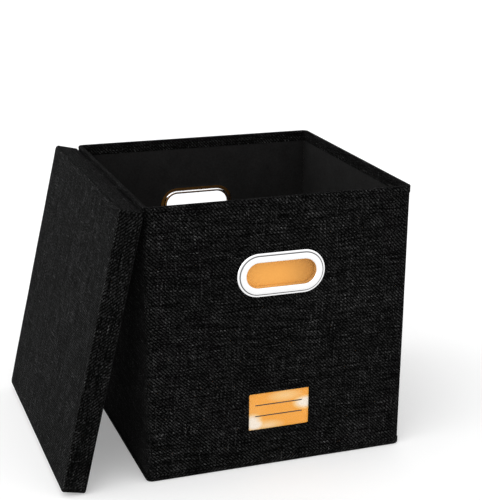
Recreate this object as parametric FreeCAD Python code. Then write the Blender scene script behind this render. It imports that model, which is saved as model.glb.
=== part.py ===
import FreeCAD, Part
import math
import os

Vector = FreeCAD.Vector

# A carrying case for 12-inch records: an upright box of stiff board wrapped in woven fabric, with a
# metal-rimmed hand hole in its front and its back, a label pocket low on its front, and a loose lid
# that stands on the floor and leans on the case's left wall.
# Lengths are in millimetres. X runs to the right, Y to the back and Z up, from the middle of the base.

# What the case holds, and the room round it
sleeve_size = 315.0
side_room = 1.2
stack_depth = 315.4
head_room = 14.7

# Layers of a wall, from the outside in
cover_thickness = 0.8
board_thickness = 3.0
lining_thickness = 0.5

# Rounding of the upright corners and of the edge along the floor
corner_radius = 7.0
base_edge_radius = 3.0

# Fabric folded over the rim and up from the base
binding_thickness = 0.8
binding_edge_radius = 1.4
rim_outer_leg = 9.0
rim_inner_leg = 14.0
base_band_height = 8.5

# Hand holes and their metal rims
grip_drop = 91.5
hand_hole_width = 87.0
hand_hole_height = 31.0
flange_width = 10.5
flange_crown = 2.6
flange_shoulder = 2.2
flange_bevel = 2.2
flange_edge = 0.7
lip_bevel = 1.3
sleeve_thickness = 1.2
sleeve_clearance = 0.3
backing_thickness = 1.2
backing_inset = 3.0
roll_thickness = 0.8
roll_width = 1.6

# Label pocket on the front, with its clear window and its card
pocket_rise = 41.0
pocket_sill = 7.5
pocket_head = 10.0
pocket_side = 8.5
pocket_corner_radius = 3.0
pocket_edge_bevel = 0.5
window_width = 76.0
window_height = 46.5
window_corner_radius = 1.5
facing_thickness = 0.9
window_thickness = 0.4
label_thickness = 0.4
label_margin = 2.5
label_drop = 4.0
label_clearance = 0.15
label_side_clearance = 0.3

# Divider card that stands inside, behind the front wall
divider_thickness = 1.5
divider_drop = 18.0
divider_side_clearance = 2.4
divider_corner_radius = 8.0
divider_clearance = 0.3

# Lid
lid_height = 28.0
lid_board_thickness = 2.5
lid_top_thickness = 3.0
lid_clearance = 1.0
lid_edge_radius = 3.0

# How the lid leans
least_lean = math.radians(10.0)
lean_clearance = 0.3

# Reach of a cut past the surface that it opens
overrun = 1.0

# Slack when edges are picked by their level
level_slack = 0.001

# Sizes worked out from those above
wall_thickness = cover_thickness + board_thickness + lining_thickness
base_thickness = binding_thickness + board_thickness + lining_thickness
case_width = sleeve_size + 2 * side_room + 2 * wall_thickness
case_depth = stack_depth + 2 * wall_thickness
case_height = base_thickness + sleeve_size + head_room
front = -case_depth / 2
grip_level = case_height - grip_drop

cover_outline = (case_width, case_depth, corner_radius)


def inset(outline, distance):
    """An outline moved in by a distance, or out where the distance is negative."""
    width, depth, radius = outline
    return (width - 2 * distance, depth - 2 * distance, max(radius - distance, 0))


def square(outline):
    """The same outline with sharp corners."""
    width, depth, radius = outline
    return (width, depth, 0)


band_outline = inset(cover_outline, -binding_thickness)
core_outline = inset(cover_outline, cover_thickness)
board_inner = square(inset(core_outline, board_thickness))
rim_inner = inset(board_inner, binding_thickness)
board_bottom = binding_thickness
board_top = case_height - binding_thickness
floor_top = base_thickness - lining_thickness

lid_mouth = square(inset(band_outline, -lid_clearance))
lid_board_inner = inset(lid_mouth, -binding_thickness)
lid_core = inset(lid_board_inner, -lid_board_thickness)[:2] + (corner_radius - cover_thickness,)
lid_outline = inset(lid_core, -cover_thickness)
lid_core_top = lid_height - cover_thickness
lid_skirt_top = lid_core_top - lid_top_thickness
lid_lining_low = lid_skirt_top - lining_thickness


def rounded_face(outline, level):
    """A level face about the Z axis, its corners turned to one radius."""
    width, depth, radius = outline
    x, y = width / 2, depth / 2
    diagonal = radius * math.sqrt(0.5)
    edges = []
    last = None
    first = None
    for sx, sy, along_x in ((1, 1, False), (-1, 1, True), (-1, -1, False), (1, -1, True)):
        centre = Vector(sx * (x - radius), sy * (y - radius), level)
        on_x = centre + Vector(sx * radius, 0, 0)
        on_y = centre + Vector(0, sy * radius, 0)
        start, end = (on_y, on_x) if along_x else (on_x, on_y)
        if last is not None and (start - last).Length > level_slack:
            edges.append(Part.LineSegment(last, start).toShape())
        if radius > 0:
            middle = centre + Vector(sx * diagonal, sy * diagonal, 0)
            edges.append(Part.Arc(start, middle, end).toShape())
        first = first or start
        last = end
    if (first - last).Length > level_slack:
        edges.append(Part.LineSegment(last, first).toShape())
    return Part.Face(Part.Wire(edges))


def prism(outline, low, high):
    """A solid of one outline between two levels."""
    return rounded_face(outline, low).extrude(Vector(0, 0, high - low))


def band(outer, inner, low, high):
    """The ring between two outlines."""
    return prism(outer, low, high).cut(prism(inner, low, high))


def block(x_span, y_span, z_span):
    """A plain box between pairs of coordinates."""
    low = Vector(x_span[0], y_span[0], z_span[0])
    return Part.makeBox(x_span[1] - x_span[0], y_span[1] - y_span[0], z_span[1] - z_span[0], low)


def upright(width, height, radius, level, near, far):
    """A rounded plate that stands across Y, centred at a level, from near to far."""
    plate = rounded_face((width, height, radius), 0).extrude(Vector(0, 0, far - near))
    plate.rotate(Vector(), Vector(1, 0, 0), 90)
    plate.translate(Vector(0, far, level))
    return plate


def edges_at(shape, level):
    """The edges that lie at one level."""
    bounds = [(edge, edge.BoundBox) for edge in shape.Edges]
    return [edge for edge, box in bounds if max(abs(box.ZMin - level), abs(box.ZMax - level)) < level_slack]


def edges_facing(shape, near):
    """The edges of an upright plate's front face."""
    bounds = [(edge, edge.BoundBox) for edge in shape.Edges]
    return [edge for edge, box in bounds if max(abs(box.YMin - near), abs(box.YMax - near)) < level_slack]


def soften(shape, radius, level):
    """Round the edges at one level, as fabric goes round them."""
    return shape.makeFillet(radius, edges_at(shape, level))


def blunt(shape, size, level):
    """Bevel the edges at one level, where they lie hidden under fabric."""
    return shape.makeChamfer(size, edges_at(shape, level)) if size > 0 else shape


def behind(shape):
    """The same piece turned half round the case's axis, from the front wall to the back."""
    turned = shape.copy()
    turned.rotate(Vector(), Vector(0, 0, 1), 180)
    return turned


def four_sides(ring, outer, thickness, low, high):
    """A ring cut into a front and a back of full width, with a left and a right between them."""
    x, y = outer[0] / 2, outer[1] / 2
    across = (-x, x)
    between = (-y + thickness, y - thickness)
    spans = {
        "front": (across, (-y, -y + thickness)),
        "back": (across, (y - thickness, y)),
        "left": ((-x, -x + thickness), between),
        "right": ((x - thickness, x), between),
    }
    return {side: ring.common(block(*span, (low, high))) for side, span in spans.items()}


def hand_slot(growth, near, far):
    """The hand hole's shape, grown evenly all round, as a plate across Y."""
    tall = hand_hole_height + 2 * growth
    return upright(hand_hole_width + 2 * growth, tall, tall / 2, grip_level, near, far)


def case_boards():
    """Four wall boards and the base board, eased where the fabric goes round them."""
    edge_bevel = base_edge_radius - binding_thickness - cover_thickness
    envelope = blunt(prism(core_outline, board_bottom, board_top), edge_bevel, board_bottom)
    ring = envelope.cut(prism(board_inner, board_bottom, board_top))
    boards = four_sides(ring, core_outline, board_thickness, board_bottom, board_top)
    hole = hand_slot(sleeve_thickness + sleeve_clearance, -case_depth, case_depth)
    boards["front"] = boards["front"].cut(hole)
    boards["back"] = boards["back"].cut(hole)
    nodes = {side + "_board": board for side, board in boards.items()}
    nodes["base_board"] = prism(board_inner, board_bottom, floor_top)
    return nodes


def case_linings():
    """Thin sheets inside the boards, from the base up to the folded rim."""
    low = base_thickness
    high = case_height - rim_inner_leg
    ring = band(board_inner, inset(board_inner, lining_thickness), low, high)
    sheets = four_sides(ring, board_inner, lining_thickness, low, high)
    hole = hand_slot(sleeve_thickness + sleeve_clearance, -case_depth, case_depth)
    sheets["front"] = sheets["front"].cut(hole)
    sheets["back"] = sheets["back"].cut(hole)
    nodes = {side + "_lining": sheet for side, sheet in sheets.items()}
    nodes["base_lining"] = prism(board_inner, floor_top, base_thickness)
    return nodes


def case_fabric():
    """The wrap round the four walls, the base sheet with its band, and the folded rim."""
    wrap = band(cover_outline, core_outline, base_edge_radius, board_top)
    wrap = wrap.cut(hand_slot(sleeve_thickness + sleeve_clearance, -case_depth, case_depth))

    shell = soften(prism(band_outline, 0, base_edge_radius + overrun), base_edge_radius, 0)
    hollow = prism(cover_outline, binding_thickness, base_edge_radius + overrun)
    hollow = blunt(hollow, base_edge_radius - binding_thickness, binding_thickness)
    sheet = shell.cut(hollow).common(prism(band_outline, 0, base_edge_radius))
    strip = band(band_outline, cover_outline, base_edge_radius, base_band_height)

    outer_leg = band(band_outline, cover_outline, case_height - rim_outer_leg, case_height)
    cap = band(band_outline, rim_inner, board_top, case_height)
    inner_leg = band(board_inner, rim_inner, case_height - rim_inner_leg, case_height)
    rim = outer_leg.fuse([cap, inner_leg]).removeSplitter()
    rim = soften(rim, binding_edge_radius, case_height)
    return {"side_cover": wrap, "base_cover": sheet, "base_band": strip, "rim_binding": rim}


def grip_profile():
    """Section of a hand hole's rim: a crowned flange on the fabric, a bevelled lip, a sleeve through the
    wall, and the sleeve's end rolled over the backing ring."""
    x = (hand_hole_width - hand_hole_height) / 2
    hole_edge = hand_hole_height / 2
    flange_end = hole_edge + flange_width
    roll_start = -wall_thickness - backing_thickness
    sleeve_end = roll_start - roll_thickness
    sleeve_reach = hole_edge + sleeve_thickness

    def place(reach, out):
        return Vector(x, front - out, grip_level + reach)

    sleeve_foot = place(hole_edge, sleeve_end)
    lip_low = place(hole_edge, flange_crown - lip_bevel)
    lip_high = place(hole_edge + lip_bevel, flange_crown)
    shoulder = place(flange_end - flange_bevel, flange_shoulder)
    edge_high = place(flange_end, flange_edge)
    edge_low = place(flange_end, 0)
    sleeve_top = place(sleeve_reach, 0)
    roll_root = place(sleeve_reach, roll_start)
    roll_outer = place(sleeve_reach + roll_width, roll_start)
    roll_end = place(sleeve_reach + roll_width, sleeve_end)
    edges = [
        Part.LineSegment(sleeve_foot, lip_low).toShape(),
        Part.LineSegment(lip_low, lip_high).toShape(),
        Part.LineSegment(lip_high, shoulder).toShape(),
        Part.LineSegment(shoulder, edge_high).toShape(),
        Part.LineSegment(edge_high, edge_low).toShape(),
        Part.LineSegment(edge_low, sleeve_top).toShape(),
        Part.LineSegment(sleeve_top, roll_root).toShape(),
        Part.LineSegment(roll_root, roll_outer).toShape(),
        Part.LineSegment(roll_outer, roll_end).toShape(),
        Part.LineSegment(roll_end, sleeve_foot).toShape(),
    ]
    return Part.Face(Part.Wire(edges)), x


def grips():
    """Pressed metal rims with their backing rings, alike on the front and the back."""
    section, x = grip_profile()
    along_y = Vector(0, 1, 0)
    right_end = section.revolve(Vector(x, 0, grip_level), along_y, 180)
    top_run = section.extrude(Vector(-2 * x, 0, 0))
    half = right_end.fuse(top_run)
    other = half.copy()
    other.rotate(Vector(0, 0, grip_level), along_y, 180)
    rim = half.fuse(other).removeSplitter()

    near = front + wall_thickness
    backing = hand_slot(flange_width - backing_inset, near, near + backing_thickness)
    backing = backing.cut(hand_slot(sleeve_thickness, near - overrun, near + backing_thickness + overrun))
    return {
        "front_grip": rim,
        "front_grip_backing": backing,
        "back_grip": behind(rim),
        "back_grip_backing": behind(backing),
    }


def label_pocket():
    """A frame with an open top, a clear window behind its opening and a loose card behind that."""
    channel_depth = window_thickness + label_thickness + 2 * label_clearance
    near = front - channel_depth - facing_thickness
    window_low = pocket_rise + pocket_sill
    pocket_width = window_width + 2 * pocket_side
    pocket_height = pocket_sill + window_height + pocket_head
    pocket_top = pocket_rise + pocket_height
    window_level = window_low + window_height / 2
    label_width = window_width + 2 * label_margin
    label_low = window_low - label_margin
    half_channel = label_width / 2 + label_side_clearance
    channel_low = label_low - label_clearance

    level = pocket_rise + pocket_height / 2
    frame = upright(pocket_width, pocket_height, pocket_corner_radius, level, near, front)
    opening = upright(window_width, window_height, window_corner_radius, window_level, near - overrun, front)
    channel = block(
        (-half_channel, half_channel), (front - channel_depth, front), (channel_low, pocket_top + overrun)
    )
    frame = frame.cut(opening)
    frame = frame.makeChamfer(pocket_edge_bevel, edges_facing(frame, near)).cut(channel)

    window_back = front - channel_depth + window_thickness
    window = block(
        (-half_channel, half_channel), (front - channel_depth, window_back), (channel_low, pocket_top)
    )
    card_back = front - label_clearance
    card = block(
        (-label_width / 2, label_width / 2),
        (card_back - label_thickness, card_back),
        (label_low, pocket_top - label_drop),
    )
    return {"label_frame": frame, "label_window": window, "label_card": card}


def divider():
    """A plain card that stands on the base, right behind the front wall."""
    width = rim_inner[0] - 2 * divider_side_clearance
    low = base_thickness + divider_clearance
    high = case_height - divider_drop
    near = front + wall_thickness + backing_thickness + roll_thickness + divider_clearance
    level = (low + high) / 2
    card = upright(width, high - low, divider_corner_radius, level, near, near + divider_thickness)
    return {"divider_card": card}


def lean_angle():
    """The lid's lean from upright: its open edge meets the rim, or the wall of a taller case."""
    reach = min(case_height - rim_outer_leg / 2, lid_outline[0] * math.cos(least_lean))
    return math.acos(reach / lid_outline[0])


def lid_pieces():
    """The lid as it lies on the case, open side down at level zero, about the Z axis."""
    cover = soften(prism(lid_outline, binding_thickness, lid_height), lid_edge_radius, lid_height)
    core = prism(lid_core, binding_thickness, lid_core_top)
    core = blunt(core, lid_edge_radius - cover_thickness, lid_core_top)
    top = core.common(prism(lid_outline, lid_skirt_top, lid_height))
    ring = band(lid_core, lid_board_inner, binding_thickness, lid_skirt_top)
    skirts = four_sides(ring, lid_core, lid_board_thickness, binding_thickness, lid_skirt_top)

    edge = band(lid_outline, lid_mouth, 0, binding_thickness)
    leg = band(lid_board_inner, lid_mouth, 0, lid_lining_low)
    fold = edge.fuse(leg).removeSplitter()
    fold_width = cover_thickness + lid_board_thickness + binding_thickness
    folds = four_sides(fold, lid_outline, fold_width, 0, lid_lining_low)

    nodes = {"lid_cover": cover.cut(core), "lid_top_board": top}
    nodes["lid_lining"] = prism(lid_board_inner, lid_lining_low, lid_skirt_top)
    for side in ("front", "back", "left", "right"):
        nodes["lid_" + side + "_skirt"] = skirts[side]
        nodes["lid_" + side + "_turn_in"] = folds[side]
    return nodes


def leaning_lid():
    """The lid stood on its left skirt's open edge, its top outwards, leaning on the case's left side."""
    lean = lean_angle()
    half = lid_outline[0] / 2
    foot = -case_width / 2 - binding_thickness - lean_clearance - 2 * half * math.sin(lean)
    turn = FreeCAD.Rotation(Vector(0, 1, 0), math.degrees(lean) - 90)
    middle = Vector(foot + half * math.sin(lean), 0, half * math.cos(lean))
    nodes = {}
    for name, shape in lid_pieces().items():
        shape.Placement = FreeCAD.Placement(middle, turn)
        nodes[name] = shape
    heel = lid_height * math.sin(lean)
    pivot = (foot - lid_height * math.cos(lean), heel * math.sin(lean) / (1 + math.sin(lean)))
    print("lean %.3f degrees, foot at x %.3f, tipping line at x %.3f z %.4f" % (math.degrees(lean), foot, *pivot))
    return nodes


def single(name, shape):
    """The one solid of a piece, which has to be closed and whole."""
    solids = shape.Solids
    if len(solids) != 1 or not shape.isValid():
        raise ValueError("%s is not one sound solid" % name)
    return solids[0]


os.makedirs("parts", exist_ok=True)
pieces = {}
for make in (case_boards, case_linings, case_fabric, grips, label_pocket, divider, leaning_lid):
    pieces.update(make())
for name, shape in pieces.items():
    single(name, shape).exportStep(os.path.join("parts", name + ".step"))
print("case %.2f x %.2f x %.2f, lid %.2f x %.2f" % (case_width, case_depth, case_height, *lid_outline[:2]))
print(len(pieces), "pieces")
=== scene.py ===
import math

import bmesh
import bpy
from mathutils import Matrix, Vector, noise


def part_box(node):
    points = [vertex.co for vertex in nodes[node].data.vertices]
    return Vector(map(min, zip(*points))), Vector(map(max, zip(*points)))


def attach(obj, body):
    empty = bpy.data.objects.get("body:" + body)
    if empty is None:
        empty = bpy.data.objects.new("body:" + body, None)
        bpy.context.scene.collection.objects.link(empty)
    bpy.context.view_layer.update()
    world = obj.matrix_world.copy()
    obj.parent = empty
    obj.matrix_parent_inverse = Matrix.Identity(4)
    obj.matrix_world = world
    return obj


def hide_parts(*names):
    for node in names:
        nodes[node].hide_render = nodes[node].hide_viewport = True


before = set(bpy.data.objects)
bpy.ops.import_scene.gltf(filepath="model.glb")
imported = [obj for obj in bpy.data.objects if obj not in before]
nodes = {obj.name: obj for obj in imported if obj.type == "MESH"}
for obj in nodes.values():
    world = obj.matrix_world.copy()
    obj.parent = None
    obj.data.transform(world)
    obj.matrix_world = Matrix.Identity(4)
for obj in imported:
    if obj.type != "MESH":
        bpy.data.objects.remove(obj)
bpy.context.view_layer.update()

# Lengths are in millimetres, and become metres where a mesh or a material is made.
# X runs to the right, Y to the back and Z up, from the middle of the case's base.
MM = 0.001


def corners(node):
    """A solid's lowest and highest corners at rest."""
    return [[round(value / MM, 2) for value in corner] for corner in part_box(node)]


def extent(node):
    """A solid's width, depth and height at rest."""
    low, high = corners(node)
    return [round(b - a, 2) for a, b in zip(low, high)]


# Layers of the walls and the lid
cloth_thickness = 0.8
board_thickness = 3.0
lining_thickness = 0.5
lid_board_thickness = 2.5

# The case
case_width, case_depth, _ = extent("side_cover")
case_height = corners("rim_binding")[1][2]
front = -case_depth / 2
corner_radius = 7.0
wall_thickness = cloth_thickness + board_thickness + lining_thickness
base_thickness = wall_thickness
base_edge_radius = 3.0
base_band_height = corners("base_band")[1][2]
rim_outer_leg = 9.0
rim_inner_leg = 14.0
rim_edge_radius = 1.4

# The hand holes
hand_hole_width = 87.0
hand_hole_height = 31.0
hand_hole_level = sum(corner[2] for corner in corners("front_grip")) / 2
hand_hole_room = 1.5

# The lid, and how it leans: its open edge meets the middle of the rim's fold
lid_depth = extent("lid_cover")[1]
lid_width = round(lid_depth + case_width - case_depth, 2)
lid_height = 28.0
lid_edge_radius = 3.0
lid_skirt_thickness = 2 * cloth_thickness + lid_board_thickness
lid_lining_low = lid_height - cloth_thickness - board_thickness - lining_thickness
lean = math.acos((case_height - rim_outer_leg / 2) / lid_width)
lean_clearance = 0.3
foot_x = -case_width / 2 - cloth_thickness - lean_clearance - lid_width * math.sin(lean)

# Outlines that cloth is swept round, as width, depth and corner radius
wall_outline = (case_width, case_depth, corner_radius)
two_cloths = 2 * cloth_thickness
band_outline = (case_width + two_cloths, case_depth + two_cloths, corner_radius + cloth_thickness)
lid_outline = (lid_width, lid_depth, corner_radius)


# Lines and sections

def oval(centre, reach, start, end, steps):
    """Points along part of an oval, from one angle to another in degrees."""
    points = []
    for step in range(steps + 1):
        angle = math.radians(start + (end - start) * step / steps)
        points.append((centre[0] + reach[0] * math.cos(angle), centre[1] + reach[1] * math.sin(angle)))
    return points


def arc(centre, radius, start, end, steps):
    """Points along an arc, from one angle to another in degrees."""
    return oval(centre, (radius, radius), start, end, steps)


def along(start, end, steps):
    """Points on a straight line, both ends among them."""
    return [tuple(a + (b - a) * step / steps for a, b in zip(start, end)) for step in range(steps + 1)]


def lengths_along(points):
    """How far along a line each of its points is."""
    lengths = [0.0]
    for a, b in zip(points, points[1:]):
        lengths.append(lengths[-1] + math.dist(a, b))
    return lengths


def ring(outline, inward, steps):
    """Points round an outline that is set in by a distance. The steps are those of a side along X, of a side
    along Y and of a corner."""
    width, depth, radius = outline
    steps_x, steps_y, steps_corner = steps
    turn = max(radius - inward, 0.0)
    reach_x, reach_y = width / 2 - inward - turn, depth / 2 - inward - turn
    turns = []
    for side_x, side_y, start in ((1, -1, -90), (1, 1, 0), (-1, 1, 90), (-1, -1, 180)):
        turns.append(arc((side_x * reach_x, side_y * reach_y), turn, start, start + 90, steps_corner))
    points = []
    for here, after, run in zip(turns, turns[1:] + turns[:1], (steps_y, steps_x, steps_y, steps_x)):
        points += here + along(here[-1], after[0], run)[1:-1]
    return points


def slot_points(growth, steps=24):
    """Points round the hand hole, grown evenly, in x and z from its middle."""
    straight = (hand_hole_width - hand_hole_height) / 2
    radius = hand_hole_height / 2 + growth
    return arc((straight, 0), radius, 90, -90, steps) + arc((-straight, 0), radius, 270, 90, steps)


# Meshes

def cells(rows, columns):
    """The corners of each cell of a grid, as pairs of row and column, in the order that a face takes them."""
    for row in range(rows):
        for column in range(columns):
            yield (row, column), (row, column + 1), (row + 1, column + 1), (row + 1, column)


def grid_faces(grid, width, height, first=0):
    """Faces of a grid's cells, among points that stand in rows and may close round either way."""
    return [[first + (row % height) * width + column % width for row, column in cell] for cell in grid]


def mesh_object(name, points, faces, lengths=None):
    """An object in metres, with the cloth's own lengths as its map."""
    mesh = bpy.data.meshes.new(name)
    mesh.from_pydata([tuple(value * MM for value in point) for point in points], [], faces)
    if lengths is not None:
        layer = mesh.uv_layers.new(name="cloth")
        for polygon, places in zip(mesh.polygons, lengths):
            for loop, (u, v) in zip(polygon.loop_indices, places):
                layer.data[loop].uv = (u * MM, v * MM)
    obj = bpy.data.objects.new(name, mesh)
    bpy.context.scene.collection.objects.link(obj)
    return obj


def wrapped(name, outline, section, cap=False, flip=False):
    """A cloth that runs round a box: a section of distances inward and levels, swept round an outline. It is
    closed inside its last ring where cap is set, and its right side is turned over by flip."""
    steps_x, steps_y, _ = wrap_steps
    rings = [ring(outline, inward, wrap_steps) for inward, level in section]
    count = len(rings[0])
    points = [(x, y, level) for line, (inward, level) in zip(rings, section) for x, y in line]
    reach = lengths_along(rings[0] + rings[0][:1])
    rise = lengths_along(section)
    grid = list(cells(len(section) - 1, count))
    faces = grid_faces(grid, count, len(section))
    lengths = [[(reach[column], rise[row]) for row, column in cell] for cell in grid]
    if cap:
        inward, level = section[-1]
        half_x, half_y = outline[0] / 2 - inward, outline[1] / 2 - inward
        first = len(points)
        for y in along((-half_y,), (half_y,), steps_y):
            points += [(x[0], y[0], level) for x in along((-half_x,), (half_x,), steps_x)]
        flat = grid_faces(cells(steps_y, steps_x), steps_x + 1, steps_y + 1, first)
        faces += flat
        lengths += [[points[corner][:2] for corner in face] for face in flat]
    if flip:
        faces = [face[::-1] for face in faces]
        lengths = [places[::-1] for places in lengths]
    return edit_mesh(mesh_object(name, points, faces, lengths), join_doubles)


def plate(name, origin, along_u, along_v, size, inward):
    """A flat sheet from one corner, its two directions and its size, that gets its thickness inward."""
    origin = Vector(origin)
    points = []
    for v in along((0,), (size[1],), plate_steps):
        points += [origin + along_u * u[0] + along_v * v[0] for u in along((0,), (size[0],), plate_steps)]
    faces = grid_faces(cells(plate_steps, plate_steps), plate_steps + 1, plate_steps + 1)
    if along_u.cross(along_v).dot(inward) < 0:
        faces = [face[::-1] for face in faces]
    return mesh_object(name, points, faces)


def edit_mesh(obj, change):
    """Let a function change an object's mesh."""
    work = bmesh.new()
    work.from_mesh(obj.data)
    change(work)
    work.to_mesh(obj.data)
    work.free()
    return obj


def join_doubles(work):
    """Join the points that meet."""
    bmesh.ops.remove_doubles(work, verts=work.verts, dist=meeting_distance * MM)


def face_outward(work):
    """Turn a closed mesh's faces outward."""
    bmesh.ops.recalc_face_normals(work, faces=work.faces)


def smooth(obj, angle=50):
    """Smooth shading, with edges sharper than the angle kept."""
    for polygon in obj.data.polygons:
        polygon.use_smooth = True
    obj.data.set_sharp_from_angle(angle=math.radians(angle))


def apply_modifier(obj, kind, **settings):
    """Add a modifier, set it and apply it."""
    modifier = obj.modifiers.new(kind.lower(), kind)
    for key, value in settings.items():
        setattr(modifier, key, value)
    bpy.context.view_layer.update()
    depsgraph = bpy.context.evaluated_depsgraph_get()
    mesh = bpy.data.meshes.new_from_object(obj.evaluated_get(depsgraph))
    obj.modifiers.clear()
    obj.data = mesh


def thicken(obj, thickness):
    """Give a sheet its thickness, inward."""
    apply_modifier(obj, "SOLIDIFY", thickness=thickness * MM, offset=-1.0, use_even_offset=True)


def cut_away(obj, cutter):
    """Take one closed mesh out of another."""
    apply_modifier(obj, "BOOLEAN", object=cutter, operation="DIFFERENCE", solver="EXACT")
    bpy.data.objects.remove(cutter)


def uneven(obj, depth, seed):
    """Draw the surface in by small soft hollows, as cloth glued over board lies."""
    mesh = obj.data
    offset = Vector(hollow_shift) * seed
    moves = []
    for vertex in mesh.vertices:
        broad = noise.noise(vertex.co * broad_hollows + offset)
        close = noise.noise(vertex.co * close_hollows + offset)
        share = 0.5 + broad_hollow_share * broad + close_hollow_share * close
        moves.append(-vertex.normal * (depth * MM * min(max(share, 0.0), 1.0)))
    for vertex, move in zip(mesh.vertices, moves):
        vertex.co += move
    mesh.update()


def slot_cutter(near, far):
    """A closed block of the hand hole's shape, a little larger, between two places along Y."""
    line = slot_points(hand_hole_room)
    count = len(line)
    points = [(x, y, hand_hole_level + z) for y in (near, far) for x, z in line]
    faces = [list(range(count)), list(range(2 * count - 1, count - 1, -1))]
    faces += grid_faces(cells(1, count), count, 2)
    return edit_mesh(mesh_object("slot_cutter", points, faces), face_outward)


def block_cutter(low, high):
    """A closed box between two corners."""
    points = [(x, y, z) for x in (low[0], high[0]) for y in (low[1], high[1]) for z in (low[2], high[2])]
    faces = [(0, 1, 3, 2), (4, 6, 7, 5), (0, 4, 5, 1), (2, 3, 7, 6), (0, 2, 6, 4), (1, 5, 7, 3)]
    return edit_mesh(mesh_object("block_cutter", points, faces), face_outward)


# How fine the meshes are, and how near points meet
wrap_steps = (26, 26, 7)
plate_steps = 20
meeting_distance = 0.002

# Hollows of the cloth: waves in a metre, their shares, and how far one seed's pattern is from the next
broad_hollows = 22.0
close_hollows = 70.0
broad_hollow_share = 0.6
close_hollow_share = 0.3
hollow_shift = (3.7, 1.9, 5.3)


# Materials

class Shader:
    """Adds nodes to the tree of one material or world and links them."""

    def __init__(self, owner):
        owner.use_nodes = True
        self.owner = owner
        self.tree = owner.node_tree

    def feed(self, node, key, value):
        """Link a socket to a node's input, or set the input to a value."""
        if isinstance(value, bpy.types.NodeSocket):
            self.tree.links.new(value, node.inputs[key])
        else:
            node.inputs[key].default_value = value

    def add(self, kind, inputs, **settings):
        """Add a node of one kind, with its inputs and settings, and give its outputs."""
        node = self.tree.nodes.new(kind)
        for key, value in settings.items():
            setattr(node, key, value)
        for key, value in inputs.items():
            self.feed(node, key, value)
        return node.outputs

    def finish(self, **inputs):
        """Set the surface's inputs, given by their names with _ for a space."""
        for key, value in inputs.items():
            self.feed(self.tree.nodes["Principled BSDF"], key.replace("_", " "), value)
        return self.owner

    def place(self):
        """Where a point of the surface is in its object, in metres."""
        return self.add("ShaderNodeTexCoord", {})["Object"]

    def parts(self, vector):
        """The X, Y and Z of a vector."""
        return self.add("ShaderNodeSeparateXYZ", {0: vector})

    def math(self, operation, *values, clamp=False):
        """One step of arithmetic."""
        return self.add("ShaderNodeMath", dict(enumerate(values)), operation=operation, use_clamp=clamp)[0]

    def line(self, value, slope, start=0.0, clamp=False):
        """The value times a slope, from a start."""
        return self.math("MULTIPLY_ADD", value, slope, start, clamp=clamp)

    def product(self, *values):
        """All the values multiplied."""
        result = values[0]
        for value in values[1:]:
            result = self.math("MULTIPLY", result, value)
        return result

    def blend(self, a, share_a, b, share_b):
        """A sum of two values, each with its share."""
        return self.math("ADD", self.math("MULTIPLY", a, share_a), self.math("MULTIPLY", b, share_b))

    def apart(self, value, middle, reach):
        """How far a value is from a middle, as a share of a reach, squared."""
        share = self.math("DIVIDE", self.math("SUBTRACT", value, middle * MM), reach * MM)
        return self.math("MULTIPLY", share, share)

    def soft_step(self, value, start, end):
        """From 0 at the start to 1 at the end, with a soft beginning and ending."""
        inputs = {"Value": value, "From Min": start * MM, "From Max": end * MM}
        return self.add("ShaderNodeMapRange", inputs, interpolation_type="SMOOTHSTEP")[0]

    def shaded(self, colour, level):
        """A colour times a level."""
        return self.add("ShaderNodeVectorMath", {0: colour, 1: level}, operation="MULTIPLY")[0]

    def noise(self, coordinates, per_metre, detail, roughness=0.5, shift=(0, 0, 0)):
        """A cloudy pattern, with so many clouds in a metre along each direction."""
        mapping = {"Vector": coordinates, "Scale": per_metre, "Location": shift}
        mapped = self.add("ShaderNodeMapping", mapping)[0]
        inputs = {"Vector": mapped, "Scale": 1.0, "Detail": detail, "Roughness": roughness}
        return self.add("ShaderNodeTexNoise", inputs)[0]

    def ramp(self, factor, *stops):
        """Colours between stops, each given by its place and its colour."""
        node = self.tree.nodes.new("ShaderNodeValToRGB")
        self.feed(node, "Fac", factor)
        elements = node.color_ramp.elements
        while len(elements) < len(stops):
            elements.new(0.5)
        for element, (position, colour) in zip(elements, stops):
            element.position = position
            element.color = (*colour, 1.0)
        return node.outputs[0]

    def bump(self, height, depth, strength):
        """Relief of so many millimetres."""
        return self.add("ShaderNodeBump", {"Height": height, "Distance": depth * MM, "Strength": strength})[0]

    def straight_rays(self):
        """1 for rays from the camera, off metal and through glass, which see the background white."""
        path = self.add("ShaderNodeLightPath", {})
        seen = self.math("MAXIMUM", path["Is Camera Ray"], path["Is Glossy Ray"])
        return self.math("MAXIMUM", seen, path["Is Transmission Ray"])


def grey(value):
    """A colour without a tint."""
    return (value, value, value)


# Weave: the pitch of the threads in metres, a twill of two over and two under, how far the threads waver in
# metres and how often, and how often a thread's shade changes across and along the threads
thread_pitch = 0.00108
twill_repeat = 4.0
threads_over = 1.5
waver = (0.004, 0.004, 0.0)
wavers_per_metre = 30.0
short_changes = (5.37, 0.16)
long_changes = (3.71, 0.03)
short_change_share = 0.62
long_change_share = 0.38
warp_seed = 1.3
weft_seed = 8.9


def thread_shade(s, index, length, seed):
    """How pale each thread is along its length, from short and long changes."""
    values = []
    for (across, along_it), detail, roughness in ((short_changes, 2.0, 0.7), (long_changes, 0.0, 0.5)):
        inputs = {0: s.product(index, across), 1: s.product(length, along_it), 2: seed}
        at = s.add("ShaderNodeCombineXYZ", inputs)[0]
        values.append(s.noise(at, (1, 1, 1), detail, roughness))
    return s.blend(values[0], short_change_share, values[1], long_change_share)


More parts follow.
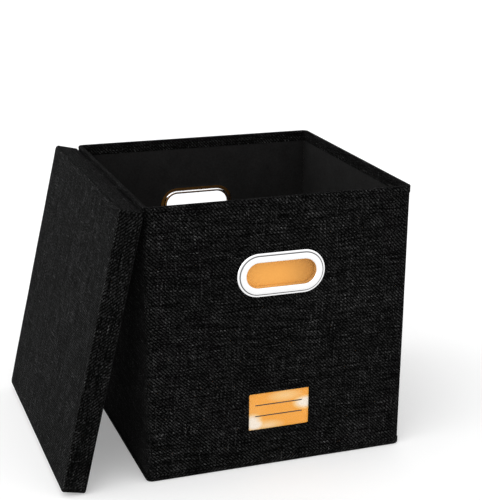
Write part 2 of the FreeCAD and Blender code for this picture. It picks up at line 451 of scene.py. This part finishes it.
def weave(s, threads):
    """Shade and roundness of the thread that lies on top, from the twill's warp and weft."""
    across, up = [s.math("DIVIDE", threads[axis], thread_pitch) for axis in ("X", "Y")]
    column, row = s.math("FLOOR", across), s.math("FLOOR", up)
    repeat = s.math("FLOORED_MODULO", s.math("ADD", column, row), twill_repeat)
    warp_over = s.math("LESS_THAN", repeat, threads_over)
    warp = s.math("SUBTRACT", thread_shade(s, column, up, warp_seed), warp_darker)
    weft = s.math("ADD", thread_shade(s, row, across, weft_seed), weft_paler)
    round_weft, round_warp = [
        s.math("ABSOLUTE", s.math("SINE", s.product(at, math.pi))) for at in (up, across)
    ]
    shade = s.add("ShaderNodeMix", {0: warp_over, 2: weft, 3: warp}, data_type="FLOAT")[0]
    shape = s.add("ShaderNodeMix", {0: warp_over, 2: round_weft, 3: round_warp}, data_type="FLOAT")[0]
    return shade, shape


def slubs(s, cloth):
    """Short thick lengths of thread, some level and some upright."""
    level = s.noise(cloth, (slub_length, slub_width, 1), 1.0, shift=(9.1, 2.3, 0))
    upright = s.noise(cloth, (slub_width, slub_length, 1), 1.0, shift=(5.9, 4.2, 0))
    return s.math("MULTIPLY", s.math("POWER", s.math("MAXIMUM", level, upright), slub_sharpness), slub_level)


# Weft paler and warp darker than the mean, slubs in a metre along and across them, and how they stand out
weft_paler = 0.10
warp_darker = 0.07
slub_length = 42
slub_width = 420
slub_sharpness = 6.0
slub_level = 30.0
patches_per_metre = (7, 7, 1)
specks_per_metre = (560, 560, 1)


def cloth_material(name, dark, mid, light, panel=None):
    """Linen-like twill, each thread with its own thick, pale and dark lengths. The panel that faces the way
    given, if any, is made paler by painted light."""
    s = Shader(bpy.data.materials.new(name))
    cloth = s.add("ShaderNodeUVMap", {}, uv_map="cloth")[0]
    bend = s.add("ShaderNodeTexNoise", {"Vector": cloth, "Scale": wavers_per_metre, "Detail": 1.0})[1]
    wavy = s.add("ShaderNodeVectorMath", {0: cloth, 1: s.shaded(bend, waver)}, operation="ADD")[0]
    shade, shape = weave(s, s.parts(wavy))
    patches = s.line(s.noise(cloth, patches_per_metre, 2.0), 0.5, 0.45)
    specks = s.math("POWER", s.line(s.noise(cloth, specks_per_metre, 2.0, 0.6), 2.0), 3.0)
    thick = s.line(slubs(s, wavy), 0.45, 0.5)
    level = s.product(patches, thick, specks, s.line(shape, 1.0, 0.2))
    # Painted light: the panel that faces the given way is made paler
    if panel is not None:
        normal = s.add("ShaderNodeTexCoord", {})["Normal"]
        facing = s.add("ShaderNodeVectorMath", {0: normal, 1: panel}, operation="DOT_PRODUCT")["Value"]
        rubbing_and_panel_light = s.math("MULTIPLY", s.math("SUBTRACT", facing, 0.6), 5.0, clamp=True)
        level = s.product(level, s.line(rubbing_and_panel_light, 0.5, 1.0))
    colour = s.ramp(shade, (0.36, grey(dark)), (0.50, grey(mid)), (0.68, grey(light)))
    return s.finish(
        Base_Color=s.shaded(colour, level),
        Roughness=0.9,
        Specular_IOR_Level=0.02,
        Normal=s.bump(s.blend(shape, 0.6, shade, 0.8), 0.5, 0.7),
    )


def lining_material():
    """Thin black non-woven sheet with short pressed fibres."""
    s = Shader(bpy.data.materials.new("lining_sheet"))
    fibres = s.noise(s.place(), (420, 420, 420), 4.0, 0.65)
    clouds = s.noise(s.place(), (60, 60, 60), 2.0)
    height = s.blend(fibres, 0.7, clouds, 0.3)
    return s.finish(
        Base_Color=s.ramp(height, (0.3, grey(0.004)), (0.7, grey(0.014))),
        Roughness=0.9,
        Specular_IOR_Level=0.12,
        Normal=s.bump(height, 0.4, 0.5),
    )


def board_material():
    """Dense grey-brown board with flecks of fibre."""
    s = Shader(bpy.data.materials.new("grey_board"))
    flecks = s.noise(s.place(), (900, 900, 900), 3.0, 0.7)
    clouds = s.noise(s.place(), (45, 45, 45), 2.0)
    mix = s.blend(flecks, 0.5, clouds, 0.5)
    return s.finish(
        Base_Color=s.ramp(mix, (0.3, (0.22, 0.18, 0.13)), (0.7, (0.36, 0.31, 0.24))),
        Roughness=0.85,
        Specular_IOR_Level=0.2,
        Normal=s.bump(mix, 0.3, 0.4),
    )


def flange_line(s):
    """1 along the step round the rim's flange, where shade is painted, and 0 away from it."""
    place = s.parts(s.place())
    straight = (hand_hole_width - hand_hole_height) / 2 * MM
    end = s.math("MAXIMUM", s.math("SUBTRACT", s.math("ABSOLUTE", place["X"]), straight), 0.0)
    rise = s.math("SUBTRACT", place["Z"], hand_hole_level * MM)
    reach = s.math("SQRT", s.math("ADD", s.product(end, end), s.product(rise, rise)))
    away = s.math("ABSOLUTE", s.math("SUBTRACT", reach, (hand_hole_height / 2 + flange_line_reach) * MM))
    return s.math("SUBTRACT", flange_line_edge, s.math("DIVIDE", away, flange_line_width * MM), clamp=True)


# The line of painted shade in the step on the metal rims, which is also rougher: its middle's distance from
# the hand hole, its width, how hard its edge is, and how much darker and rougher it is
flange_line_reach = 7.85
flange_line_width = 0.6
flange_line_edge = 1.6
flange_shade_darkness = 0.88
flange_line_rough = 0.3


def chrome_material(name, painted_step_shade):
    """Polished chrome with faint rubbing marks and a slight waviness from pressing, and, where asked, with
    painted shade that darkens the step round the flange, which is also rougher there."""
    s = Shader(bpy.data.materials.new(name))
    rubbing_and_panel_light = s.noise(s.place(), (90, 90, 900), 3.0, 0.6)
    waves = s.noise(s.place(), (40, 40, 40), 1.0)
    plate_colour = s.ramp(rubbing_and_panel_light, (0.25, (0.83, 0.83, 0.84)), (0.75, (0.92, 0.92, 0.92)))
    rough = s.line(rubbing_and_panel_light, 0.07, 0.05)
    if painted_step_shade:
        # Painted shade: the step round the flange is darkened in the plate's colour, and made rougher
        line = flange_line(s)
        plate_colour = s.shaded(plate_colour, s.line(line, -flange_shade_darkness, 1.0))
        rough = s.math("ADD", rough, s.line(line, flange_line_rough))
    return s.finish(
        Base_Color=plate_colour,
        Metallic=1.0,
        Roughness=rough,
        Normal=s.bump(waves, 0.6, 0.25),
    )


def window_material():
    """Clear glossy film, slightly wavy, with the studio's reflection on its outside."""
    s = Shader(bpy.data.materials.new("clear_film"))
    waves = s.noise(s.place(), (30, 30, 55), 1.0, 0.4)
    bumps = s.bump(waves, 1.2, 0.5)
    clear = s.add("ShaderNodeBsdfTransparent", {"Color": (0.98, 0.98, 0.98, 1.0)})[0]
    gloss = s.add("ShaderNodeBsdfGlossy", {"Roughness": 0.05, "Normal": bumps})[0]
    share = s.add("ShaderNodeFresnel", {"IOR": 1.42, "Normal": bumps})[0]
    inside = s.add("ShaderNodeNewGeometry", {})["Backfacing"]
    outer_share = s.product(share, s.math("SUBTRACT", 1.0, inside))
    mix = s.add("ShaderNodeMixShader", {0: outer_share, 1: clear, 2: gloss})[0]
    s.feed(s.tree.nodes["Material Output"], "Surface", mix)
    return s.owner


# Patches of painted glare on the label: their middle in x and z, their reach along each, and how pale they
# are
painted_glare_patches = (
    (-34.0, 58.0, 15.0, 13.0, 0.95),
    (-14.0, 52.0, 24.0, 8.0, 0.50),
    (34.0, 76.0, 18.0, 10.0, 1.0),
    (8.0, 88.0, 26.0, 8.0, 0.40),
)

# Ruled lines of the label: their levels, half their thickness and half their length
ruled_levels = (65.5, 79.5)
ruled_half_thickness = 0.7
ruled_half_length = 30.0


def ruled_lines(s, x, z):
    """1 on the label's ruled lines, and 0 beside them."""
    ink = 0.0
    for level in ruled_levels:
        away = s.math("ABSOLUTE", s.math("SUBTRACT", z, level * MM))
        on_line = s.math("LESS_THAN", away, ruled_half_thickness * MM)
        within = s.math("LESS_THAN", s.math("ABSOLUTE", x), ruled_half_length * MM)
        ink = s.math("ADD", s.product(on_line, within), ink, clamp=True)
    return ink


def label_material():
    """Orange card, paler at its lower left and upper right from painted glare, with two plain ruled lines."""
    s = Shader(bpy.data.materials.new("label_paper_orange"))
    place = s.parts(s.place())
    fibres = s.noise(s.place(), (700, 700, 700), 3.0, 0.6)
    pale = s.product(s.noise(s.place(), (26, 26, 34), 1.0, 0.4, shift=(1.7, 0.4, 2.2)), 0.25)
    # Painted glare: pale patches laid into the card's colour
    for x_middle, z_middle, x_reach, z_reach, share in painted_glare_patches:
        away = s.math("ADD", s.apart(place["X"], x_middle, x_reach), s.apart(place["Z"], z_middle, z_reach))
        patch = s.math("SUBTRACT", 1.0, away, clamp=True)
        pale = s.math("ADD", pale, s.product(patch, share), clamp=True)
    orange, paler, glare_colour = (0.97, 0.40, 0.035), (0.98, 0.58, 0.20), (1.0, 0.88, 0.74)
    card_colour = s.ramp(pale, (0.12, orange), (0.5, paler), (1.0, glare_colour))
    speckled = s.shaded(card_colour, s.line(fibres, 0.12, 0.94))
    ink = (0.012, 0.010, 0.009, 1.0)
    inked = ruled_lines(s, place["X"], place["Z"])
    printed = s.add("ShaderNodeMix", {0: inked, 6: speckled, 7: ink}, data_type="RGBA")[2]
    return s.finish(
        Base_Color=printed,
        Roughness=0.5,
        Specular_IOR_Level=0.4,
        Normal=s.bump(fibres, 0.1, 0.3),
    )


def divider_material():
    """Orange coated card with a faint grain, and painted shade that darkens it softly to the lower right."""
    s = Shader(bpy.data.materials.new("divider_card_orange"))
    place = s.parts(s.place())
    fibres = s.noise(s.place(), (500, 500, 500), 3.0, 0.6)
    clouds = s.noise(s.place(), (14, 14, 14), 2.0)
    # Painted shade, deepening to the right and towards the bottom
    rightward = s.soft_step(place["X"], -4.0, 62.0)
    downward = s.soft_step(place["Z"], 256.0, 150.0)
    grain = s.blend(fibres, 0.35, clouds, 0.65)
    colour = s.ramp(grain, (0.3, (0.82, 0.34, 0.055)), (0.7, (0.93, 0.43, 0.085)))
    painted_shade = s.blend(rightward, 0.52, downward, 0.24)
    return s.finish(
        Base_Color=s.shaded(colour, s.math("SUBTRACT", 1.0, painted_shade)),
        Roughness=0.45,
        Specular_IOR_Level=0.35,
        Normal=s.bump(fibres, 0.1, 0.25),
    )


def floor_material():
    """Matt pale floor that shows white and keeps the object's shadow."""
    s = Shader(bpy.data.materials.new("pale_floor"))
    return s.finish(
        Base_Color=(0.80, 0.80, 0.80, 1.0),
        Roughness=1.0,
        Specular_IOR_Level=0.0,
        Emission_Color=(1.0, 1.0, 1.0, 1.0),
        Emission_Strength=s.product(s.straight_rays(), 0.25),
    )


# The lid's cloth is the wall's made darker, as painted shade on its skirts, with painted light on its panel
lid_panel = (-math.cos(lean), 0.0, math.sin(lean))
cloth = cloth_material("cloth_wall", 0.0001, 0.0022, 0.033)
cloth_lid_painted_shade_and_light = cloth_material("cloth_lid_painted_shade_and_light", 0.0001, 0.0018, 0.027, panel=lid_panel)
cloth_fold = cloth_material("cloth_fold", 0.0001, 0.0020, 0.030)
lining = lining_material()
board = board_material()
chrome = chrome_material("chrome_plate", painted_step_shade=False)
rim_chrome = chrome_material("chrome_rim", painted_step_shade=True)
film = window_material()
paper = label_material()
card = divider_material()


# Pieces

# How thick the sheets are drawn, a little less than their solids
wall_cloth_drawn = 0.72
fold_drawn = 0.7
lining_drawn = 0.35
metal_drawn = 0.6

# Section of a fold's cut edge: how far in it starts, how it rounds over, and where the fold's face begins
cut_edge_root = 0.75
cut_edge_lip = 0.3
cut_edge_round = 0.4
cut_edge_length = 1.2


def finish_piece(obj, material, body, slot, *replaced):
    """Give a piece its material, the body that it rides on and the solids that it stands for. Its slot is not
    used.
    """
    obj.data.materials.clear()
    obj.data.materials.append(material)
    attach(obj, body)
    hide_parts(*replaced)


def fold_edge(level, direction):
    """Section of a fold's cut edge on the face under it, from which the fold goes up or down."""
    return [(cut_edge_root, level), (cut_edge_lip, level), (0, level + direction * cut_edge_round)]


def make_side_wrap():
    """The cloth round the four walls, open at the two hand holes."""
    levels = along((0, base_edge_radius), (0, case_height - cloth_thickness), 40)
    wrap = wrapped("side_wrap", wall_outline, levels)
    uneven(wrap, depth=0.22, seed=1)
    thicken(wrap, wall_cloth_drawn)
    cut_away(wrap, slot_cutter(-case_depth, case_depth))
    smooth(wrap)
    finish_piece(wrap, cloth, "case", "fabric", "side_cover")


def make_base_wrap():
    """The cloth under the base, turned up over the floor edge."""
    section = fold_edge(base_band_height, -1)
    section += along((0, base_band_height - cut_edge_length), (0, base_edge_radius), 3)
    section += arc((base_edge_radius, base_edge_radius), base_edge_radius, 180, 270, 5)[1:]
    section += [(corner_radius + cloth_thickness, 0)]
    sheet = wrapped("base_wrap", band_outline, section, cap=True, flip=True)
    uneven(sheet, depth=0.15, seed=1)
    thicken(sheet, fold_drawn)
    smooth(sheet)
    finish_piece(sheet, cloth_fold, "case", "fabric_binding", "base_cover", "base_band")


def make_rim_wrap():
    """The cloth folded over the rim, outside to inside."""
    low = case_height - rim_outer_leg
    bend = case_height - rim_edge_radius
    inner_face = 3 * cloth_thickness + board_thickness
    below_bend = 1.0
    section = fold_edge(low, 1)
    section += along((0, low + cut_edge_length), (0, bend), 5)
    section += arc((rim_edge_radius, bend), rim_edge_radius, 180, 90, 5)[1:]
    section += arc((inner_face - rim_edge_radius, bend), rim_edge_radius, 90, 0, 5)
    section += along((inner_face, bend - below_bend), (inner_face, case_height - rim_inner_leg), 6)
    rim = wrapped("rim_wrap", band_outline, section)
    uneven(rim, depth=0.12, seed=2)
    thicken(rim, fold_drawn)
    smooth(rim)
    finish_piece(rim, cloth_fold, "case", "fabric_binding", "rim_binding")


def make_case_linings():
    """Thin sheets on the inner faces of the four walls and on the base."""
    x, y = case_width / 2 - wall_thickness, case_depth / 2 - wall_thickness
    low = base_thickness
    tall = case_height - rim_inner_leg - low
    right, back, up = Vector((1, 0, 0)), Vector((0, 1, 0)), Vector((0, 0, 1))
    sheets = {
        "front_lining": ((-x, -y, low), right, up, (2 * x, tall), back),
        "back_lining": ((-x, y, low), right, up, (2 * x, tall), -back),
        "left_lining": ((-x, -y, low), back, up, (2 * y, tall), right),
        "right_lining": ((x, -y, low), back, up, (2 * y, tall), -right),
        "base_lining": ((-x, -y, low), right, back, (2 * x, 2 * y), up),
    }
    cuts = {"front_lining": (-case_depth, 0), "back_lining": (0, case_depth)}
    for seed, (node, (origin, along_u, along_v, size, inward)) in enumerate(sheets.items(), 3):
        sheet = plate(node + "_sheet", origin, along_u, along_v, size, inward)
        uneven(sheet, depth=0.12, seed=seed)
        thicken(sheet, lining_drawn)
        if node in cuts:
            cut_away(sheet, slot_cutter(*cuts[node]))
        smooth(sheet)
        finish_piece(sheet, lining, "case", "lining", node)


def grip_section():
    """Section of a hand hole's rim, as distances from the hole's edge and out of the wall's face: the rolled
    end of the sleeve, the sleeve, a rounded lip, a crowned flange that steps down, and its outer lip."""
    backing_thickness, roll_thickness = 1.2, 0.8
    roll_reach, roll_round, roll_nip = 2.8, 0.9, 0.1
    crown, crown_start, crown_end, lip_round = 2.6, 2.4, 7.8, 1.7
    flange_width, outer_lip = 10.5, 1.1
    foot = -(wall_thickness + backing_thickness + roll_thickness)
    section = [(roll_reach, foot + roll_nip), (roll_reach - roll_nip, foot)]
    section += arc((roll_round, foot + roll_round), roll_round, 270, 180, 4)
    section += along((0, foot + roll_round), (0, crown - lip_round), 4)[1:-1]
    section += arc((lip_round, crown - lip_round), lip_round, 180, 90, 8)
    section += oval((crown_start, outer_lip), (crown_end - crown_start, crown - outer_lip), 90, 0, 12)
    section += arc((flange_width - outer_lip, 0), outer_lip, 90, 0, 6)
    return section


def make_hand_rim(side, turn):
    """A pressed metal rim swept round a hand hole, on the front and then turned to its side."""
    section = grip_section()
    rings = [slot_points(reach, 40) for reach, out in section]
    count = len(rings[0])
    points = []
    for line, (reach, out) in zip(rings, section):
        points += [(x, front - out, hand_hole_level + z) for x, z in line]
    faces = [face[::-1] for face in grid_faces(cells(len(section) - 1, count), count, len(section))]
    rim = mesh_object(side + "_hand_rim", points, faces)
    thicken(rim, metal_drawn)
    rim.data.transform(Matrix.Rotation(turn, 4, "Z"))
    smooth(rim, 60)
    finish_piece(rim, rim_chrome, "case", "grip_metal", side + "_grip")


def make_pocket():
    """The label pocket's frame: a cloth-wrapped facing with soft edges, open at its top behind the facing."""
    pocket_width, _, pocket_height = extent("label_frame")
    pocket_rise = corners("label_frame")[0][2]
    sill, head, side = 7.5, 10.0, 8.5
    facing, channel = 0.9, 1.1
    tall = facing + channel
    window_low = pocket_rise + sill
    window_width, window_height = pocket_width - 2 * side, pocket_height - sill - head
    outer = (pocket_width, pocket_height, 3.0), pocket_rise + pocket_height / 2
    inner = (window_width, window_height, 1.5), window_low + window_height / 2
    outer_round, outer_drop = 1.0, 0.8
    inner_round, inner_drop = 1.1, 0.7

    def line(edge, inward, out):
        """One row of points, set in from an edge and out of the wall's face."""
        outline, level = edge
        return [(x, front - out, level + z) for x, z in ring(outline, inward, (16, 12, 6))]

    outer_edge = oval((outer_round, tall - outer_drop), (outer_round, outer_drop), 180, 90, 4)
    inner_edge = oval((-inner_round, tall - inner_drop), (inner_round, inner_drop), 90, 0, 4)
    rows = [line(outer, *at) for at in [(0.0, 0.0)] + outer_edge]
    inner_rows = [line(inner, *at) for at in inner_edge + [(0.0, channel), (0.0, 0.0)]]
    facing_rows = zip(*[along(a, b, 4)[1:-1] for a, b in zip(rows[-1], inner_rows[0])])
    rows += [list(row) for row in facing_rows] + inner_rows

    count = len(rows[0])
    points = [point for row in rows for point in row]
    faces = grid_faces(cells(len(rows), count), count, len(rows))
    lengths = [[(points[corner][0], points[corner][2]) for corner in face] for face in faces]
    pocket = edit_mesh(mesh_object("label_pocket_frame", points, faces, lengths), join_doubles)
    edit_mesh(pocket, face_outward)

    half_channel = window_width / 2 + label_margin + label_side_clearance
    channel_low = window_low - label_margin - label_clearance
    channel_high = pocket_rise + pocket_height + overrun
    low = (-half_channel, front - channel, channel_low)
    cut_away(pocket, block_cutter(low, (half_channel, front + 1, channel_high)))
    smooth(pocket, 40)
    finish_piece(pocket, cloth_fold, "case", "pocket_frame", "label_frame")


# Room that the label card has in its pocket, and how far a cut goes past what it opens
label_margin = 2.5
label_side_clearance = 0.3
label_clearance = 0.15
overrun = 5.0


# The lid's pieces are made as it lies on the case, and then stood up as it leans
lid_middle = (foot_x + lid_width / 2 * math.sin(lean), 0, lid_width / 2 * math.cos(lean))
stand = Matrix.Translation(Vector(lid_middle) * MM) @ Matrix.Rotation(lean - math.pi / 2, 4, "Y")

# The round of the lid's open edge, and how far past it the first row of a face lies
open_edge_radius = 1.3
past_edge = 1.5


def stand_up(obj, depth, seed, thickness):
    """Give a sheet of the lid its hollows and its thickness, and stand it up."""
    uneven(obj, depth=depth, seed=seed)
    thicken(obj, thickness)
    smooth(obj)
    obj.data.transform(stand)


def make_lid_cover():
    """The cloth over the lid's top and skirts, to the middle of its open edge."""
    radius, bend = open_edge_radius, lid_height - lid_edge_radius
    section = [(lid_skirt_thickness / 2, 0)]
    section += arc((radius, radius), radius, 270, 180, 5)
    section += along((0, radius + past_edge), (0, bend), 5)
    section += arc((lid_edge_radius, bend), lid_edge_radius, 180, 90, 6)[1:]
    section += [(corner_radius, lid_height)]
    cover = wrapped("lid_wrap", lid_outline, section, cap=True)
    stand_up(cover, depth=0.3, seed=11, thickness=fold_drawn)
    finish_piece(cover, cloth_lid_painted_shade_and_light, "lid", "fabric", "lid_cover")


def make_lid_folds():
    """The cloth folded in round the lid's open edge, from its middle to the lining."""
    radius = open_edge_radius
    section = [(lid_skirt_thickness / 2, 0)]
    section += arc((lid_skirt_thickness - radius, radius), radius, 270, 360, 5)
    section += along((lid_skirt_thickness, radius + past_edge), (lid_skirt_thickness, lid_lining_low), 5)
    folds = wrapped("lid_fold", lid_outline, section, flip=True)
    stand_up(folds, depth=0.15, seed=12, thickness=fold_drawn)
    turn_ins = ["lid_%s_turn_in" % side for side in ("front", "back", "left", "right")]
    finish_piece(folds, cloth_fold, "lid", "fabric_binding", *turn_ins)


def make_lid_lining():
    """The thin sheet under the lid's top board."""
    x = lid_width / 2 - lid_skirt_thickness + cloth_thickness
    y = lid_depth / 2 - lid_skirt_thickness + cloth_thickness
    right, back, down = Vector((1, 0, 0)), Vector((0, 1, 0)), Vector((0, 0, -1))
    under = plate("lid_lining_sheet", (-x, -y, lid_lining_low), right, back, (2 * x, 2 * y), down)
    stand_up(under, depth=0.12, seed=13, thickness=lining_drawn)
    finish_piece(under, lining, "lid", "lining", "lid_lining")


def dress_kept_solids():
    """Give the solids that keep their own shape their materials."""
    boards = [name for name in nodes if name.endswith(("_board", "_skirt"))]
    materials = dict.fromkeys(boards, board)
    materials.update(dict.fromkeys(("front_grip_backing", "back_grip_backing"), chrome))
    materials.update({"label_window": film, "label_card": paper, "divider_card": card})
    for name, material in materials.items():
        mesh = nodes[name].data
        mesh.materials.clear()
        mesh.materials.append(material)
        for polygon in mesh.polygons:
            polygon.use_smooth = False


make_side_wrap()
make_base_wrap()
make_rim_wrap()
make_case_linings()
make_hand_rim("front", 0.0)
make_hand_rim("back", math.pi)
make_pocket()
make_lid_cover()
make_lid_folds()
make_lid_lining()
dress_kept_solids()


# Floor, light and camera

half_floor = 9000.0
world_light = 0.72

# The camera, fitted to the photograph: its angles in degrees, its place in metres and its focal length, and
# the picture's longer side, both in pixels
camera_yaw, camera_pitch, camera_roll = 19.94, 17.59, 0.61
camera_place = (-0.5152, -1.4446, 0.7078)
focal_pixels = 1262.4
picture_pixels = 500.0


def make_floor():
    """A wide plain floor."""
    sides = (-half_floor, half_floor)
    points = [(x, y, 0) for y in sides for x in sides]
    floor = mesh_object("floor", points, grid_faces(cells(1, 1), 2, 2))
    floor.data.materials.append(floor_material())


def light_world():
    """Soft white light from all round, seen as plain white."""
    world = bpy.data.worlds.new("studio")
    bpy.context.scene.world = world
    s = Shader(world)
    background = s.tree.nodes["Background"]
    s.feed(background, "Color", (1.0, 1.0, 1.0, 1.0))
    s.feed(background, "Strength", s.line(s.straight_rays(), 1.0 - world_light, world_light))


def distant_lamp(name, towards, spread, strength):
    """A wide soft lamp far away, in the direction given, with its spread in degrees."""
    light = bpy.data.lights.new(name, "SUN")
    light.angle = math.radians(spread)
    light.energy = strength
    lamp = bpy.data.objects.new(name, light)
    lamp.rotation_euler = (-Vector(towards)).to_track_quat("-Z", "Y").to_euler()
    bpy.context.scene.collection.objects.link(lamp)


def make_camera():
    """The camera at the photograph's place, which looks from the front left and a little down."""
    swing = Matrix.Rotation(math.radians(camera_yaw), 3, "Z")
    forward = Matrix(((1, 0, 0), (0, 0, -1), (0, 1, 0)))
    tilt = Matrix.Rotation(math.radians(camera_pitch), 3, "X")
    bank = Matrix.Rotation(math.radians(camera_roll), 3, "Z")
    picture_axes = Matrix.Diagonal((1, -1, -1))
    turn = (bank @ tilt @ forward @ swing).transposed() @ picture_axes
    data = bpy.data.cameras.new("camera")
    data.sensor_width = 36.0
    data.lens = focal_pixels * data.sensor_width / picture_pixels
    camera = bpy.data.objects.new("camera", data)
    camera.matrix_world = Matrix.Translation(camera_place) @ turn.to_4x4()
    bpy.context.scene.collection.objects.link(camera)
    bpy.context.scene.camera = camera


make_floor()
light_world()
distant_lamp("key", towards=(-0.80, -0.30, 0.62), spread=80, strength=1.65)
distant_lamp("fill", towards=(0.35, -0.80, 0.50), spread=90, strength=0.6)
make_camera()
bpy.context.scene.view_settings.view_transform = "Standard"
